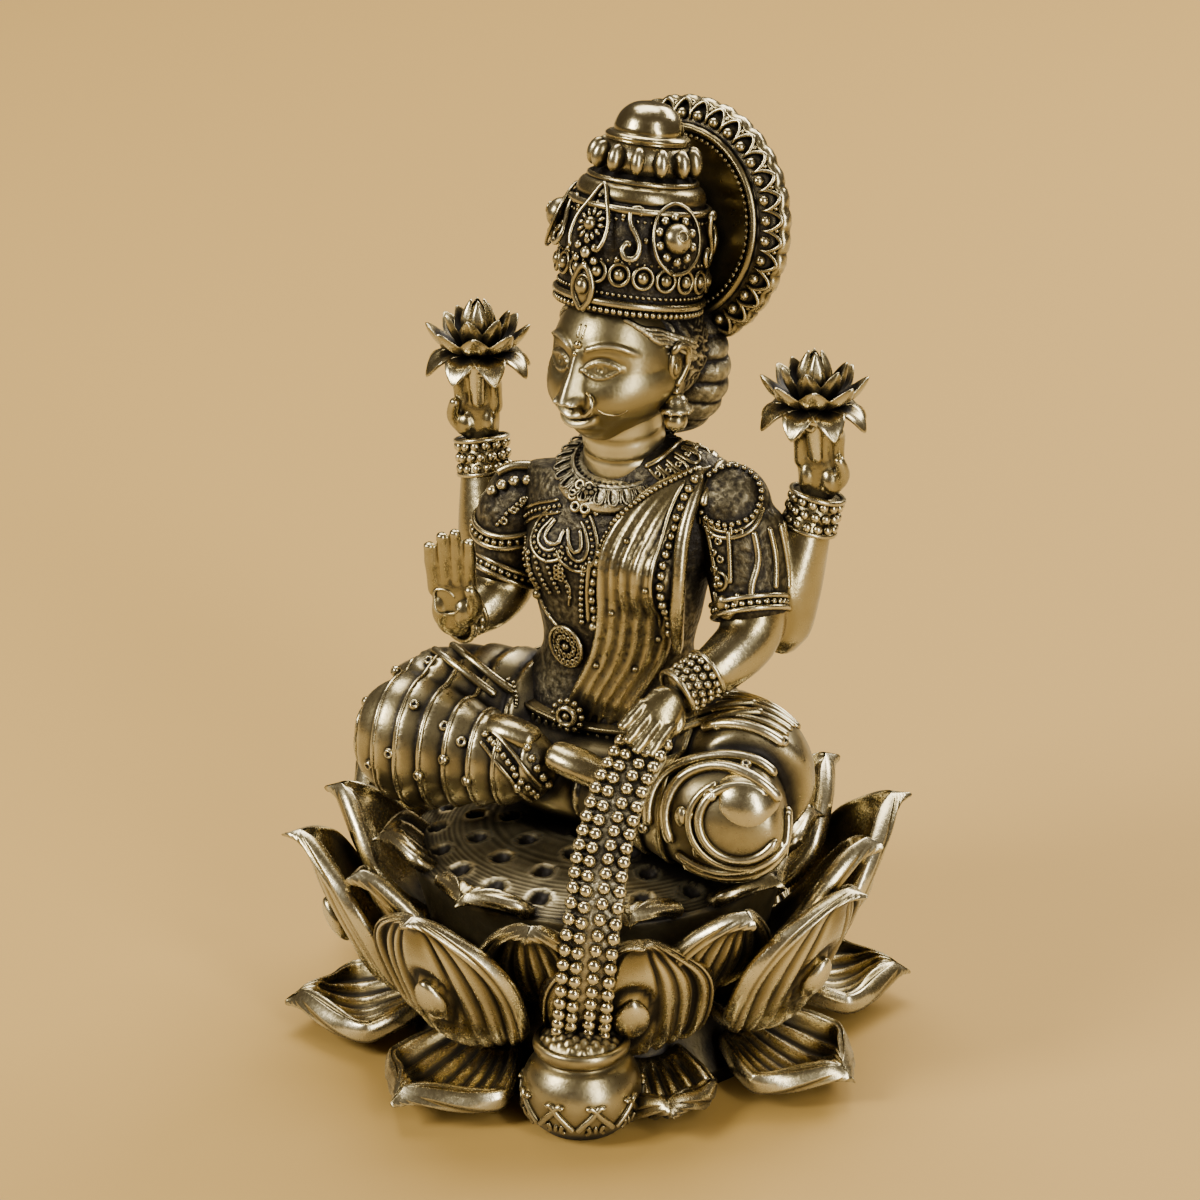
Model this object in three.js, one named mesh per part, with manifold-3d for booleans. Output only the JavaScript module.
// A four-armed figure seated cross-legged on a lotus, cast in brass in one piece.
// Millimetres, +Z up. The origin is the middle of the lotus's flat underside,
// the figure faces -Y and its own left side is toward +X.

import * as THREE from 'three';
import { mergeVertices } from 'three/addons/utils/BufferGeometryUtils.js';
import Module from 'manifold-3d';

const wasm = await Module();
wasm.setup();

// Driving dimensions of the figure
const figureHeight = 80; // from the seat to the top of the crown

// Driving dimensions of the lotus
const seatHeight = 21; // of the seed pod's rim
const seatRise = 3.6; // of the pod's middle above its rim
const seatRadius = 21;
const coreWaistRadius = 18;
const footRadius = 20.5; // of the flat underside
const footDepth = 3.2;
const petalCount = 8;
const petalPhase = -11.7; // degrees from straight ahead to the first big petal
const upperPetalReach = 33.2; // from the axis to the tips
const upperPetalRise = 3.7; // of the tips above the pod's rim
const upperPetalWidth = 18.5;
const beadPetal = 1; // the big petal behind the beads, counted from the first, stands closer in
const beadPetalReach = 28.6;
const beadPetalRise = 1.6;
const lowerPetalReach = 33.4;
const lowerPetalTip = 6.4;
const lowerPetalWidth = 16;
const middlePetalOverhang = 7.6; // of the tips beyond the pod's rim
const middlePetalRise = 4;
const middlePetalWidth = 14;
const innerPetalOverhang = 1.8;
const innerPetalRise = 3.2;
const innerPetalWidth = 11;
const petalThickness = 1.8;
const seedPitCount = 9;
const seedPitRadius = 1.2;
const seedPitDepth = 0.8;

// Driving dimensions of the pot of coins and the stream of beads
const potReach = 24.6; // from the axis to the pot's middle
const potBearing = 21.5; // degrees from straight ahead toward the left side
const potRadius = 6.3;
const potHeight = 10.4;
const potMouthRadius = 4.8;
const streamWidth = 6.2;
const streamThickness = 2.2;
const streamStrands = 4;
const strandRise = 0.6;

const brass = new THREE.MeshStandardMaterial({ color: 0xb08d4a, roughness: 0.35, metalness: 1 });

// The figure is drawn in a frame of its own: eighty units to its height, from the middle of the seat.
const unit = figureHeight / 80;
const figureFrame = new THREE.Matrix4().makeScale(unit, unit, unit).setPosition(0, 0, seatHeight);

// The head is turned to its own right about the neck, and the crown leans back on it.
const headTurn = THREE.MathUtils.degToRad(-12);
const neckDepth = 7;
const headFrame = figureFrame.clone()
  .multiply(new THREE.Matrix4().makeTranslation(0, neckDepth, 0))
  .multiply(new THREE.Matrix4().makeRotationZ(headTurn));
const crownLean = THREE.MathUtils.degToRad(-11);
const crownBase = 58.7;
const crownFrame = headFrame.clone()
  .multiply(new THREE.Matrix4().makeTranslation(0, -0.3, crownBase))
  .multiply(new THREE.Matrix4().makeRotationX(crownLean));

// How far a face may move when needless corners are dropped: of the finished casting, of one form
const castingLoss = 0.15;
const facetLoss = 0.02;
const turn = 2 * Math.PI;
const degrees = THREE.MathUtils.degToRad;
const mix = THREE.MathUtils.lerp;
const clamp = THREE.MathUtils.clamp;

// A closed solid from a three.js geometry, with its shared corners merged and its faces outward.
function solid(geometry, frame) {
  if (frame) geometry.applyMatrix4(frame);
  geometry.deleteAttribute('normal');
  geometry.deleteAttribute('uv');
  const merged = mergeVertices(geometry, 1e-4);
  const places = merged.attributes.position.array;
  const corners = merged.index.array;
  const a = new THREE.Vector3();
  const b = new THREE.Vector3();
  const c = new THREE.Vector3();
  const faces = [];
  let volume = 0;
  for (let i = 0; i < corners.length; i += 3) {
    const [p, q, r] = corners.slice(i, i + 3);
    if (p === q || q === r || r === p) continue;
    a.fromArray(places, 3 * p);
    b.fromArray(places, 3 * q);
    c.fromArray(places, 3 * r);
    volume += a.dot(b.cross(c));
    faces.push([p, q, r]);
  }
  if (volume < 0) faces.forEach((face) => face.reverse());
  const vertProperties = new Float32Array(places);
  const triVerts = new Uint32Array(faces.flat());
  return new wasm.Manifold(new wasm.Mesh({ numProp: 3, vertProperties, triVerts })).simplify(facetLoss);
}

// Moves each corner of a geometry to the point that place(corner) gives.
function warp(geometry, place) {
  const position = geometry.attributes.position;
  const corner = new THREE.Vector3();
  for (let i = 0; i < position.count; i++) {
    const point = place(corner.fromBufferAttribute(position, i));
    position.setXYZ(i, point.x, point.y, point.z);
  }
  return geometry;
}

// A ball or egg about a centre, with its poles up and down.
function ball(centre, radii, sides = 10, rings = 7) {
  const geometry = new THREE.SphereGeometry(1, sides, rings).rotateX(Math.PI / 2);
  return geometry.scale(...radii).translate(...centre);
}

// A limb, fold or finger: a closed tube through stations [x, y, z, across, through],
// where `across` is the half-width along `side` and `through` the half-width square to it.
function limb(stations, { sides = 8, steps = 8, side = [1, 0, 0], relief } = {}) {
  const path = new THREE.CatmullRomCurve3(stations.map(([x, y, z]) => new THREE.Vector3(x, y, z)));
  const sizes = new THREE.CatmullRomCurve3(
    stations.map(([, , , across, through = across]) => new THREE.Vector3(across, through, 0)));
  const endShare = 0.14;
  return warp(new THREE.SphereGeometry(1, sides, steps), (corner) => {
    const ring = Math.acos(clamp(corner.y, -1, 1)) / Math.PI;
    const along = ring - (0.6 * Math.sin(turn * ring)) / turn;
    const angle = Math.atan2(corner.z, corner.x);
    const tangent = path.getTangent(clamp(along, 0.001, 0.999));
    const out = new THREE.Vector3(...side).projectOnPlane(tangent).normalize();
    const over = new THREE.Vector3().crossVectors(tangent, out);
    const size = sizes.getPoint(along);
    const fromEnd = Math.min(along, 1 - along) / endShare;
    const fill = fromEnd < 1 ? Math.sqrt(1 - (1 - fromEnd) ** 2) : 1;
    const swell = fill * (relief ? 1 + relief(along, angle) : 1);
    return path.getPoint(along)
      .addScaledVector(out, size.x * swell * Math.cos(angle))
      .addScaledVector(over, size.y * swell * Math.sin(angle));
  });
}

// A turned form about +Z from [radius, height] points, its radius swelled by relief(angle, height).
function turned(profile, sides, relief) {
  const points = profile.map(([radius, height]) => new THREE.Vector2(radius, height));
  const geometry = new THREE.LatheGeometry(points, sides).rotateX(Math.PI / 2);
  if (!relief) return geometry;
  return warp(geometry, (corner) => {
    const swell = 1 + relief(Math.atan2(corner.y, corner.x), corner.z);
    return corner.set(corner.x * swell, corner.y * swell, corner.z);
  });
}

// One petal in the plane of its bearing: the spine runs through [reach, height] points from root
// to tip, and the edges curl to the inner side by `cup`.
function petal({ spine, width, cup, bearing, across = 4, along = 3, rootShare = 0.5 }) {
  const line = new THREE.CatmullRomCurve3(spine.map(([reach, height]) => new THREE.Vector3(reach, 0, height)));
  const geometry = new THREE.BoxGeometry(2, 1, 1, across, along, 1);
  warp(geometry, (corner) => {
    const share = corner.y + 0.5;
    const edge = Math.abs(corner.x);
    const tangent = line.getTangent(clamp(share, 0.001, 0.999));
    const outline = share < 0.5
      ? mix(rootShare, 1, Math.sin(Math.PI * share))
      : Math.cos(Math.PI * (share - 0.5)) ** 0.55;
    const lift = cup * edge * edge * outline + corner.z * petalThickness * (1 - 0.4 * edge);
    const point = line.getPoint(share);
    return new THREE.Vector3(
      point.x - tangent.z * lift,
      corner.x * 0.5 * width * outline,
      point.z + tangent.x * lift);
  });
  return geometry.rotateZ(degrees(bearing - 90));
}

// The bearing is measured from straight ahead, -Y, toward the figure's left side, +X.
function bearingPoint(bearing, reach, height) {
  const angle = degrees(bearing);
  return new THREE.Vector3(Math.sin(angle) * reach, -Math.cos(angle) * reach, height);
}

function around(count, make) {
  return Array.from({ length: count }, (_, i) => make(i));
}

function lotus() {
  const core = turned([
    [0, 0], [footRadius, 0], [footRadius + 0.4, footDepth * 0.6], [coreWaistRadius, footDepth + 2.8],
    [coreWaistRadius, seatHeight * 0.5], [seatRadius - 0.8, seatHeight - 1.4],
    [seatRadius * 0.68, seatHeight + seatRise * 0.55], [0, seatHeight + seatRise],
  ], 16);
  const step = 360 / petalCount;
  const petals = around(petalCount, (i) => {
    const bearing = petalPhase + i * step;
    const between = bearing + step / 2;
    const rootHeight = footDepth + 2.5;
    const reach = i === beadPetal ? beadPetalReach : upperPetalReach;
    const tip = seatHeight + (i === beadPetal ? beadPetalRise : upperPetalRise);
    const middleReach = seatRadius + middlePetalOverhang;
    const innerReach = seatRadius + innerPetalOverhang;
    const upper = {
      spine: [
        [coreWaistRadius - 0.6, rootHeight + 1], [mix(coreWaistRadius, reach, 0.4), rootHeight + 1.4],
        [mix(coreWaistRadius, reach, 0.66), mix(rootHeight, tip, 0.42)],
        [mix(coreWaistRadius, reach, 0.84), mix(rootHeight, tip, 0.74)], [reach, tip],
      ],
      width: upperPetalWidth, cup: 3.6, bearing, along: 4,
    };
    const lower = {
      spine: [
        [mix(coreWaistRadius, footRadius, 0.4), footDepth + 0.4],
        [mix(coreWaistRadius, lowerPetalReach, 0.3), footDepth - 1],
        [mix(coreWaistRadius, lowerPetalReach, 0.54), petalThickness * 0.5],
        [mix(coreWaistRadius, lowerPetalReach, 0.8), mix(petalThickness, lowerPetalTip, 0.26)],
        [lowerPetalReach, lowerPetalTip],
      ],
      width: lowerPetalWidth, cup: 3.2, bearing, rootShare: 0.6,
    };
    const middle = {
      spine: [
        [coreWaistRadius - 0.8, seatHeight * 0.48], [mix(seatRadius, middleReach, 0.2), seatHeight * 0.66],
        [mix(seatRadius, middleReach, 0.6), seatHeight * 0.88], [middleReach, seatHeight + middlePetalRise],
      ],
      width: middlePetalWidth, cup: 1.8, bearing: between, rootShare: 0.7, across: 2,
    };
    const inner = {
      spine: [
        [seatRadius - 3.5, seatHeight - 1.5], [mix(seatRadius, innerReach, -0.4), seatHeight + 1],
        [innerReach, seatHeight + innerPetalRise],
      ],
      width: innerPetalWidth, cup: 0.8, bearing, rootShare: 0.8, across: 2, along: 2,
    };
    return [upper, lower, middle, inner].map(petal);
  }).flat();
  const groundSpan = 4 * lowerPetalReach;
  const ground = new THREE.BoxGeometry(groundSpan, groundSpan, 2 * footDepth).translate(0, 0, -footDepth);
  const pits = around(seedPitCount, (i) => {
    const place = bearingPoint((i * 360) / seedPitCount, seatRadius * 0.76, seatHeight + seatRise * 0.45);
    const pit = new THREE.CylinderGeometry(seedPitRadius, seedPitRadius * 0.7, 2 * seedPitDepth, 5);
    return pit.rotateX(Math.PI / 2).translate(place.x, place.y, place.z);
  });
  const cast = wasm.Manifold.union([core, ...petals].map((form) => solid(form)));
  return cast.subtract(wasm.Manifold.union([ground, ...pits].map((form) => solid(form))));
}

// The lap, the crossed legs under pleated cloth, the right leg over the left, and the feet.
function legs() {
  const pleatCount = 5;
  const pleats = (along) => 0.05 * Math.cos(turn * pleatCount * along);
  const hips = ball([0, 6.5, 7.8], [14.5, 10, 8.2], 10, 6);
  const lap = ball([0, -0.5, 8.4], [14, 7, 5.6], 10, 6);
  const thighs = [-1, 1].map((side) => limb([
    [side * 6, 6.5, 10.5, 6, 6.5], [side * 12, 3.5, 11.6, 7, 7], [side * 17.4, -1, 11.8, 7.5, 7.4],
    [side * 19.8, -5, 11.2, 6.6, 6.2],
  ], { sides: 9, steps: 7, side: [0, 0, 1] }));
  const rightShin = limb([
    [-23.6, -3.6, 10.8, 5.6, 5.2], [-19, -6.2, 10.8, 7.4, 6.4], [-12.5, -7.6, 11, 5.8, 5],
    [-6.4, -8.4, 11.2, 4.4, 3.6], [-1, -8.2, 12, 3, 2.6],
  ], { sides: 9, steps: 11, side: [0, 0, 1], relief: pleats });
  const leftShin = limb([
    [23.6, -3.6, 9.8, 5.6, 5.4], [19, -6.4, 9.4, 7, 6.4], [12.5, -7, 9.2, 5.8, 5], [5.6, -6.2, 8.6, 4.2, 4],
    [0, -4.6, 8, 3.4, 3],
  ], { sides: 9, steps: 11, side: [0, 0, 1], relief: pleats });
  const feet = [
    [[-10.4, -7.8, 14.4, 1.6, 1.3], [-7, -8.4, 15, 2, 1.5], [-3, -8.6, 14.2, 1.7, 1.4]],
    [[-1.6, -9.4, 13.6, 1.7, 1.4], [2, -9.6, 13, 2, 1.5], [5.6, -9.2, 12, 1.7, 1.4]],
  ].map((stations) => limb(stations, { sides: 6, steps: 5, side: [0, 1, 0.2] }));
  return [hips, lap, ...thighs, rightShin, leftShin, ...feet];
}

// The trunk with its belt and buckle, collar, and the folds of the cloth over the left shoulder.
function torso() {
  const trunk = limb([
    [0, 5.2, 5, 11.5, 7.8], [0, 5.2, 14.5, 12.2, 7.6], [0, 4.6, 20.8, 8.6, 5.9], [0, 4.6, 26.5, 9.5, 6.4],
    [0, 4.8, 31.5, 10.6, 6.8], [0.4, 5.8, 36.5, 12, 6], [0.6, 6.8, 40.6, 11.4, 4.8], [0, 7, 44, 5.4, 4.4],
  ], { sides: 11, steps: 9 });
  const breasts = [-1, 1].map((side) => ball([side * 4.8, 1.3, 31.8], [5, 4.6, 4.8], 8, 5));
  const neck = limb([[0, 7, 39, 4.4, 4.4], [0, 6.4, 43.5, 4, 4], [0, 5, 50, 4, 4]], { sides: 8, steps: 4 });
  const belt = turned([[0, -1], [12.6, -1], [12.6, 1], [0, 1]], 14);
  belt.scale(1, 0.64, 1).rotateX(degrees(14)).translate(0, 4.9, 15.6);
  const buckle = new THREE.CylinderGeometry(1.7, 1.7, 1.4, 8).translate(-1.8, -3.4, 15.8);
  const collar = turned([[0, -0.9], [7.8, -0.9], [7.6, 0.1], [5, 1.3], [0, 1.3]], 12);
  collar.scale(1, 0.88, 1).rotateX(degrees(24)).translate(0, 5.4, 41.4);
  const folds = around(3, (i) => {
    const spread = 1.9 * (i - 1);
    return limb([
      [10.8 + 0.3 * spread, 3.4 + 0.2 * spread, 42.6, 1.2, 0.7],
      [7.6 + 0.9 * spread, 0.6 + 0.4 * Math.abs(spread), 37.2, 1.3, 0.9],
      [5.6 + 1.2 * spread, -2.4 + 0.35 * spread * spread, 31, 1.3, 0.9],
      [2.6 + 1.5 * spread, -1.5 + 0.3 * spread * spread, 23.5, 1.2, 0.8],
      [-1.2 + 1.7 * spread, -2.2 + 0.25 * spread * spread, 18, 1, 0.7],
    ], { sides: 4, steps: 5 });
  });
  const edge = limb([
    [11.4, 3.2, 42.4, 0.9, 0.9], [10.9, -0.6, 35, 1, 1], [11, -1.4, 28.5, 1, 1], [10.2, -0.4, 22, 0.9, 0.9],
  ], { sides: 5, steps: 4 });
  return [trunk, ...breasts, neck, belt, buckle, collar, ...folds, edge];
}

// A palm flat toward `face`, with its fingers fanned from it along `reach`.
function hand({ wrist, reach, face, curl = 0, thumbSide = 1, size = 1, breadth = 1 }) {
  const forward = new THREE.Vector3(...reach).normalize();
  const flat = new THREE.Vector3(...face).projectOnPlane(forward).normalize();
  const wide = new THREE.Vector3().crossVectors(flat, forward);
  const start = new THREE.Vector3(...wrist);
  const at = (across, out, along) => start.clone()
    .addScaledVector(wide, across * size * breadth)
    .addScaledVector(flat, out * size)
    .addScaledVector(forward, along * size)
    .toArray();
  const palm = limb([
    [...at(0, 0, -1.2), 1.7 * size, 1.3 * size], [...at(0, 0, 1.6), 2.2 * size * breadth, 1.2 * size],
    [...at(0, 0, 4.8), 2.6 * size * breadth, size],
  ], { sides: 6, steps: 3, side: wide.toArray() });
  const fingerLengths = [5, 5.9, 5.5, 4.4];
  const fingers = fingerLengths.map((length, i) => {
    const across = thumbSide * (1.95 - 1.3 * i);
    return limb([
      [...at(across, 0, 2.8), 0.74 * size],
      [...at(across * 1.12, curl * 0.5, 4 + length * 0.55), 0.7 * size],
      [...at(across * 1.18, curl * 2.2, 4 + length * (1 - 0.3 * curl)), 0.55 * size],
    ], { sides: 5, steps: 3, side: wide.toArray() });
  });
  const thumb = limb([
    [...at(thumbSide * 1.4, 0.2, 0.6), 0.9 * size],
    [...at(thumbSide * 2.7, 0.9, 2.6), 0.8 * size],
    [...at(thumbSide * 2.2, 1.5, 4.9), 0.6 * size],
  ], { sides: 5, steps: 3, side: wide.toArray() });
  return [palm, ...fingers, thumb];
}

function bracelet(from, to, radius) {
  const axis = new THREE.Vector3(...to).sub(new THREE.Vector3(...from));
  const length = axis.length();
  const geometry = turned([[0, 0], [radius, 0], [radius - 0.35, length * 0.5], [radius, length], [0, length]], 9);
  const upright = new THREE.Quaternion().setFromUnitVectors(new THREE.Vector3(0, 0, 1), axis.normalize());
  return geometry.applyQuaternion(upright).translate(...from);
}

// A lotus flower in bloom, one form from its foot to its pointed bud: a drooping ring of petals and
// two rising rings. Each row is [radius, height] at the petal tips, then at the notches between them.
function flower(x, y, z) {
  const petals = 7;
  const rows = [
    [[0, -0.6]], [[5.8, -1], [3.2, 0.3]], [[1.9, 0.9]], [[3.3, 1.7]], [[3.6, 2.5], [5.5, 4.4]], [[1.8, 2]],
    [[3.3, 5.4], [2.4, 3.6]], [[1.4, 3.2]], [[1.6, 4.8]], [[0, 7]],
  ];
  const geometry = new THREE.LatheGeometry(rows.map((row, i) => new THREE.Vector2(i % 9 ? 1 : 0, i)), 2 * petals);
  warp(geometry.rotateX(Math.PI / 2), (corner) => {
    const row = rows[Math.round(corner.z)];
    const angle = Math.atan2(corner.y, corner.x) + Math.PI / 2;
    const column = Math.round((angle * 2 * petals) / turn);
    const [radius, height] = row[Math.abs(column) % 2] ?? row[0];
    return corner.set(Math.cos(angle) * radius, Math.sin(angle) * radius, height);
  });
  return geometry.translate(x, y, z);
}

function arms() {
  const pieces = [];
  for (const side of [-1, 1]) {
    // the sleeve cap, and the raised arm behind with its flower; the right shoulder is the lower one
    const shoulder = side < 0 ? 34.6 : 38.2;
    pieces.push(ball([side * 12.2, 6.4, shoulder], [4.4, 4.3, 4.9], 8, 5));
    pieces.push(limb([
      [side * 11, 9, shoulder, 3.4], [side * 14, 9.6, 30.4, 3.3], [side * 16.6, 8.8, 25, 3.4],
      [side * 17.4, 9, 28.8, 3.8], [side * 18.8, 10.2, 34.4, 2.9], [side * 19.8, 11.3, 39.6, 1.9],
    ], { sides: 7, steps: 9, side: [0, 1, 0] }));
    pieces.push(bracelet([side * 18.7, 10.7, 33.8], [side * 19.9, 11.5, 38], 2.7));
    pieces.push(...hand({
      wrist: [side * 20, 11.4, 39.6], reach: [side * 0.02, -0.06, 1], face: [0.25, -1, 0],
      curl: 0.8, thumbSide: -side, size: 1,
    }));
    pieces.push(flower(side * 19.7, 10.4, 48.5));
    pieces.push(limb([[side * 20, 11, 43, 0.9], [side * 19.8, 10.4, 46.4, 1], [side * 19.7, 10.4, 49.6, 1.6]],
      { sides: 5, steps: 2 }));
  }
  // the right front arm, its palm raised to the front
  pieces.push(limb([
    [-12.4, 6.2, 35.6, 4.2, 4], [-13.4, 5.4, 30.6, 3.9, 3.7], [-13.8, 4.6, 26, 3.4, 3.4],
    [-14.6, 1.6, 24.2, 3, 2.8], [-15.8, -1.6, 23.6, 2.1, 2.1],
  ], { sides: 8, steps: 9 }));
  pieces.push(...hand({
    wrist: [-16, -2.6, 23.4], reach: [0.02, -0.16, 1], face: [0.25, -1, 0], thumbSide: 1, size: 1.18, breadth: 0.8,
  }));
  // the left front arm, its hand letting the beads fall
  pieces.push(limb([
    [12.8, 6.6, 38.6, 4.4, 4.2], [14.6, 5.4, 32, 4.1, 4], [16, 3.6, 26.4, 3.4, 3.4],
    [14.8, -0.6, 23.8, 2.9, 2.9], [11.8, -5.6, 21.6, 2.1, 2.1],
  ], { sides: 8, steps: 9 }));
  pieces.push(bracelet([13.8, -2.8, 23.2], [11.7, -6.2, 21.5], 2.8));
  pieces.push(...hand({
    wrist: [11.2, -6.9, 21.1], reach: [-0.28, -0.66, -0.7], face: [-0.7, 0.1, -0.6],
    curl: 0.5, thumbSide: -1, size: 0.95,
  }));
  return pieces;
}

// The head, hair and ornaments, in the head's own frame about the neck.
function head() {
  const skull = warp(ball([0, 0, 0], [1, 1, 1], 12, 8), (corner) => {
    const jaw = corner.z < 0 ? 1 - 0.25 * corner.z * corner.z : 1;
    return corner.set(corner.x * 6.9 * jaw, corner.y * 7.4 * (corner.y < 0 ? mix(1, jaw, 0.4) : jaw), corner.z * 8.4)
      .add(new THREE.Vector3(0, -1.8, 53.6));
  });
  const nose = limb([[0, -8.7, 55.4, 0.6, 0.6], [0, -9.6, 53.2, 0.7, 0.8], [0, -9.7, 52, 1.1, 0.7]],
    { sides: 5, steps: 3 });
  const lips = ball([0, -8.5, 49.5], [1.7, 0.8, 0.7], 6, 4);
  const chin = ball([0, -7, 47.2], [2, 1.8, 1.6], 8, 4);
  const hair = ball([0, 1.4, 54.6], [7.7, 7, 7], 9, 5);
  const bun = ball([0, 6.2, 51.4], [7.6, 4.2, 8.4], 9, 5);
  const sides = [-1, 1].flatMap((side) => [
    ball([side * 7, -1.2, 53.4], [0.9, 1.4, 2.4], 6, 3),
    ball([side * 7, -1.4, 48.8], [1.4, 1.6, 2.4], 6, 4),
  ]);
  return [skull, nose, lips, chin, hair, bun, ...sides];
}

// The tall crown, in its own frame from the middle of its lower band.
function crown() {
  const bossCount = 10;
  const bossHeight = 3.2;
  const body = turned([
    [0, 0], [8.2, 0], [8, 1.9], [8.4, bossHeight], [8, 4.5], [8.8, 5.4], [8.4, 8.4], [6.9, 12.2],
    [5.2, 14.2], [0, 14.2],
  ], 2 * bossCount, (angle, height) => (height === bossHeight ? 0.06 * Math.cos(bossCount * angle) : 0));
  const lobeCount = 12;
  const lobes = turned([[0, 13.9], [4.9, 13.9], [5.9, 15.3], [5.5, 17.2], [0, 18]], 2 * lobeCount,
    (angle) => 0.05 * Math.cos(lobeCount * angle));
  const dome = turned([[0, 17.2], [4.3, 17.2], [4.3, 18.4], [3.2, 20.2], [0, 21.6]], 9);
  const medallions = [0, -72, 72, -144, 144].flatMap((bearing) => {
    const medallion = turned([[0, -0.8], [2.4, -0.8], [2, 0.8], [1.1, 0.8], [0, 1.8]], 8).rotateX(Math.PI / 2);
    medallion.scale(1, 1, bearing ? 1.15 : 1.5).translate(0, bearing ? -7.9 : -8.5, bearing ? 8 : 9);
    return [medallion.rotateZ(degrees(bearing))];
  });
  const crest = limb([[0, -8.5, -1.4, 0.8, 0.6], [0, -9, 1.2, 1.8, 0.9], [0, -8.8, 3.2, 1.6, 0.9],
    [0, -8.6, 5.4, 0.4, 0.4]], { sides: 6, steps: 5 });
  return [body, lobes, dome, ...medallions, crest];
}

// The halo behind the crown: a dished plate, a plain ring, a sloping band of beads and a scalloped rim.
function halo() {
  const scallops = 16;
  const beadRing = 11.7;
  const plate = turned([
    [0, -1.6], [9.4, -0.6], [10.1, 0], [10.8, -0.2], [beadRing, -0.4], [12.5, -1.6], [13.2, -2], [12.9, -3.1],
    [0, -3.3],
  ], 2 * scallops);
  warp(plate, (corner) => {
    const reach = Math.hypot(corner.x, corner.y);
    const wave = Math.cos(scallops * Math.atan2(corner.y, corner.x));
    const rim = reach > 12.7 ? 1 + 0.014 * wave : 1;
    const bead = Math.abs(reach - beadRing) < 0.1 ? 0.5 * wave : 0;
    return corner.set(corner.x * rim, corner.y * rim, corner.z + bead);
  });
  return [plate.rotateX(degrees(90)).translate(0, 6.4, 8.6)];
}

// The round pot and the coins heaped in its mouth.
function pot() {
  const profile = [
    [0, 0], [potRadius * 0.6, 0], [potRadius * 0.93, potHeight * 0.16], [potRadius, potHeight * 0.4],
    [potRadius * 0.9, potHeight * 0.66], [potMouthRadius * 0.88, potHeight * 0.82],
    [potMouthRadius, potHeight * 0.93], [potMouthRadius * 0.92, potHeight],
    [potMouthRadius * 0.5, potHeight * 1.06], [0, potHeight * 1.08],
  ];
  const place = bearingPoint(potBearing, potReach, 0);
  return [turned(profile, 16).translate(place.x, place.y, place.z)];
}

// The strands of beads fall side by side from the hand, over the petals, into the pot.
function beadStream() {
  const hold = new THREE.Vector3(10.4, -10, 17.8).applyMatrix4(figureFrame);
  const falls = [
    [potBearing + 11, seatRadius - 2.5, seatHeight + 14.2], [potBearing + 5.4, seatRadius + 1.5, seatHeight + 9.5],
    [potBearing + 3.5, potReach + 1.4, seatHeight + 5], [potBearing + 2, potReach + 2.9, seatHeight - 0.2],
    [potBearing + 1, potReach + 2.4, mix(potHeight, seatHeight, 0.47)],
    [potBearing, potReach + 0.4, potHeight + 0.4], [potBearing, potReach, potHeight - 2],
  ];
  const path = new THREE.CatmullRomCurve3([hold, ...falls.map((place) => bearingPoint(...place))]);
  const across = bearingPoint(potBearing + 90, 1, 0);
  const geometry = new THREE.BoxGeometry(1, 1, 1, 2 * streamStrands, 9, 1);
  return [warp(geometry, (corner) => {
    const share = corner.y + 0.5;
    const tangent = path.getTangent(clamp(share, 0.001, 0.999));
    const out = new THREE.Vector3().crossVectors(across, tangent).normalize().negate();
    const column = Math.round((corner.x + 0.5) * 2 * streamStrands);
    const rise = column % 2 ? strandRise : 0;
    const depth = corner.z > 0 ? 0.5 * streamThickness + rise : -0.5 * streamThickness;
    return path.getPoint(share)
      .addScaledVector(across, corner.x * streamWidth)
      .addScaledVector(out, depth);
  })];
}

function casting() {
  const figure = [...legs(), ...torso(), ...arms()].map((form) => solid(form, figureFrame));
  const headwork = head().map((form) => solid(form, headFrame));
  const crownwork = [...crown(), ...halo()].map((form) => solid(form, crownFrame));
  const offering = [...pot(), ...beadStream()].map((form) => solid(form));
  const cast = wasm.Manifold.union([lotus(), ...figure, ...headwork, ...crownwork, ...offering]);
  return cast.asOriginal().simplify(castingLoss);
}

const { vertProperties, triVerts } = casting().getMesh();
const geometry = new THREE.BufferGeometry();
geometry.setAttribute('position', new THREE.BufferAttribute(new Float32Array(vertProperties), 3));
geometry.setIndex(new THREE.BufferAttribute(new Uint32Array(triVerts), 1));
const figurine = new THREE.Mesh(geometry, brass);
figurine.name = 'lakshmi_figure';

const group = new THREE.Group();
group.add(figurine);

export default group;
